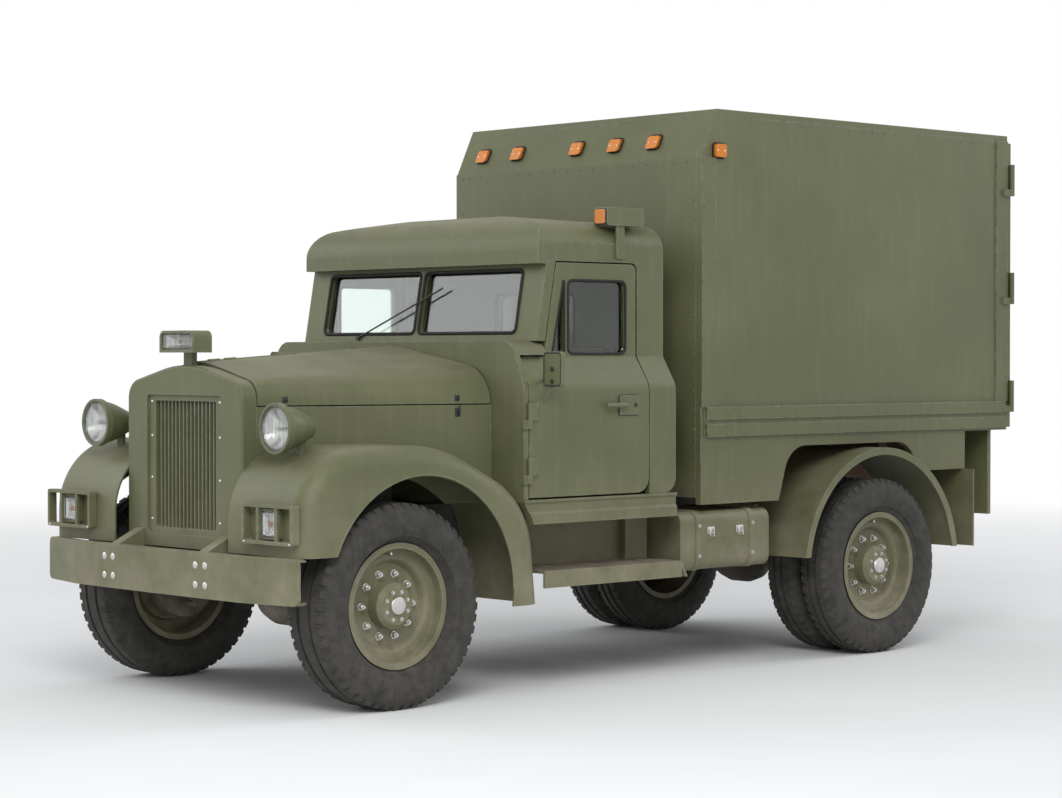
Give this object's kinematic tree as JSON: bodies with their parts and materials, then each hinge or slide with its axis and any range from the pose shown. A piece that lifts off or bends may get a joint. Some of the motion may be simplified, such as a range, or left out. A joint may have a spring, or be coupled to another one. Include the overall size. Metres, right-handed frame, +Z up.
{
  "type": "military cargo truck",
  "caption": "Bonneted military cargo truck with a hinged hood, steered front wheels, twin rear wheels, opening doors and a closed box load space.",
  "frame": {"origin": "on the ground, below the middle of the truck's length and width", "axes": "+Y runs from the bumper to the tail, +X to the truck's left side, +Z up"},
  "size_m": [2.516, 5.895, 3.187],
  "materials": {
    "drab_paint": "semi-matt olive drab paint, worn a little along its edges",
    "chassis_paint": "satin black chassis paint with road dust",
    "engine_paint": "dark grey engine paint",
    "core_metal": "matt black radiator core",
    "tyre_rubber": "dull black rubber",
    "window_glass": "clear safety glass",
    "lamp_glass": "clear ribbed lens",
    "amber_lens": "amber lamp plastic",
    "red_lens": "red lamp plastic",
    "mirror_glass": "silvered mirror glass",
    "bright_steel": "bright zinc-plated steel of nuts and small fittings",
    "seat_canvas": "woven seat canvas",
    "inside_paint": "satin cab paint",
    "black_plastic": "hard black plastic and rubber",
    "floor_wood": "dark hardwood floor boards"
  },
  "bodies": {
    "chassis": {"box_floor": "floor_wood", "box_front_wall": "drab_paint", "box_left_wall": "drab_paint", "box_rear_frame": "drab_paint", "box_right_wall": "drab_paint", "box_roof": "drab_paint", "cab_floor": "drab_paint", "cab_glass": "window_glass", "cab_rear_wall": "drab_paint", "cab_roof": "drab_paint", "chassis_frame": "chassis_paint", "cowl": "drab_paint", "dashboard": "inside_paint", "driveline": "chassis_paint", "engine_block": "engine_paint", "fender_lamps": "drab_paint", "fender_left": "drab_paint", "fender_right": "drab_paint", "front_axle": "chassis_paint", "front_bumper": "drab_paint", "headlamps": "drab_paint", "hood_sides": "drab_paint", "lamp_lenses": "lamp_glass", "marker_lamps": "amber_lens", "post_lamps": "drab_paint", "radiator_core": "core_metal", "radiator_grille": "drab_paint", "radiator_shell": "drab_paint", "rear_axle": "chassis_paint", "rear_mudguards": "drab_paint", "rear_panel": "drab_paint", "running_boards": "drab_paint", "seats": "seat_canvas", "side_boxes": "drab_paint", "steering_wheel": "black_plastic", "windshield_frame": "drab_paint", "wiper": "black_plastic"},
    "wheel_fl": {"tyre_front_left": "tyre_rubber", "wheel_front_left": "drab_paint"},
    "wheel_fr": {"tyre_front_right": "tyre_rubber", "wheel_front_right": "drab_paint"},
    "wheel_rl": {"tyre_rear_left": "tyre_rubber", "wheel_rear_left": "drab_paint"},
    "wheel_rr": {"tyre_rear_right": "tyre_rubber", "wheel_rear_right": "drab_paint"},
    "knuckle_l": {"knuckle_left": "chassis_paint"},
    "knuckle_r": {"knuckle_right": "chassis_paint"},
    "door_l": {"door_left": "drab_paint", "door_glass_left": "window_glass"},
    "door_r": {"door_right": "drab_paint", "door_glass_right": "window_glass"},
    "hood_l": {"hood_left": "drab_paint"},
    "hood_r": {"hood_right": "drab_paint"},
    "rear_door_l": {"rear_door_left": "drab_paint"},
    "rear_door_r": {"rear_door_right": "drab_paint"}
  },
  "joints": [
    {"name": "steer_left", "type": "hinge", "parent": "chassis", "child": "knuckle_l", "pos_m": [0.715, -2.1775, 0.525], "axis": [0, 0, 1], "range_deg": [-33, 33]},
    {"name": "steer_right", "type": "hinge", "parent": "chassis", "child": "knuckle_r", "pos_m": [-0.715, -2.1775, 0.525], "axis": [0, 0, 1], "range_deg": [-33, 33]},
    {"name": "front_wheel_left", "type": "hinge", "parent": "knuckle_l", "child": "wheel_fl", "pos_m": [0.945, -2.1775, 0.525], "axis": [1, 0, 0], "continuous": true},
    {"name": "front_wheel_right", "type": "hinge", "parent": "knuckle_r", "child": "wheel_fr", "pos_m": [-0.945, -2.1775, 0.525], "axis": [1, 0, 0], "continuous": true},
    {"name": "rear_wheel_left", "type": "hinge", "parent": "chassis", "child": "wheel_rl", "pos_m": [1.022, 1.5425, 0.525], "axis": [1, 0, 0], "continuous": true},
    {"name": "rear_wheel_right", "type": "hinge", "parent": "chassis", "child": "wheel_rr", "pos_m": [-1.022, 1.5425, 0.525], "axis": [1, 0, 0], "continuous": true},
    {"name": "door_left_hinge", "type": "hinge", "parent": "chassis", "child": "door_l", "pos_m": [1.115, -1.3275, 1.35], "axis": [0, 0, -1], "range_deg": [0, 68]},
    {"name": "door_right_hinge", "type": "hinge", "parent": "chassis", "child": "door_r", "pos_m": [-1.115, -1.3275, 1.35], "axis": [0, 0, 1], "range_deg": [0, 68]},
    {"name": "hood_left_hinge", "type": "hinge", "parent": "chassis", "child": "hood_l", "pos_m": [0, -2.011, 1.794], "axis": [0, -0.9979, -0.0646], "range_deg": [0, 55]},
    {"name": "hood_right_hinge", "type": "hinge", "parent": "chassis", "child": "hood_r", "pos_m": [0, -2.011, 1.794], "axis": [0, 0.9979, 0.0646], "range_deg": [0, 55]},
    {"name": "rear_door_left_hinge", "type": "hinge", "parent": "chassis", "child": "rear_door_l", "pos_m": [1.06, 2.9205, 2.2], "axis": [0, 0, -1], "range_deg": [0, 180]},
    {"name": "rear_door_right_hinge", "type": "hinge", "parent": "chassis", "child": "rear_door_r", "pos_m": [-1.06, 2.9205, 2.2], "axis": [0, 0, 1], "range_deg": [0, 180]}
  ],
  "couplings": [
    {"joint": "steer_right", "follows": "steer_left", "ratio": 1}
  ]
}
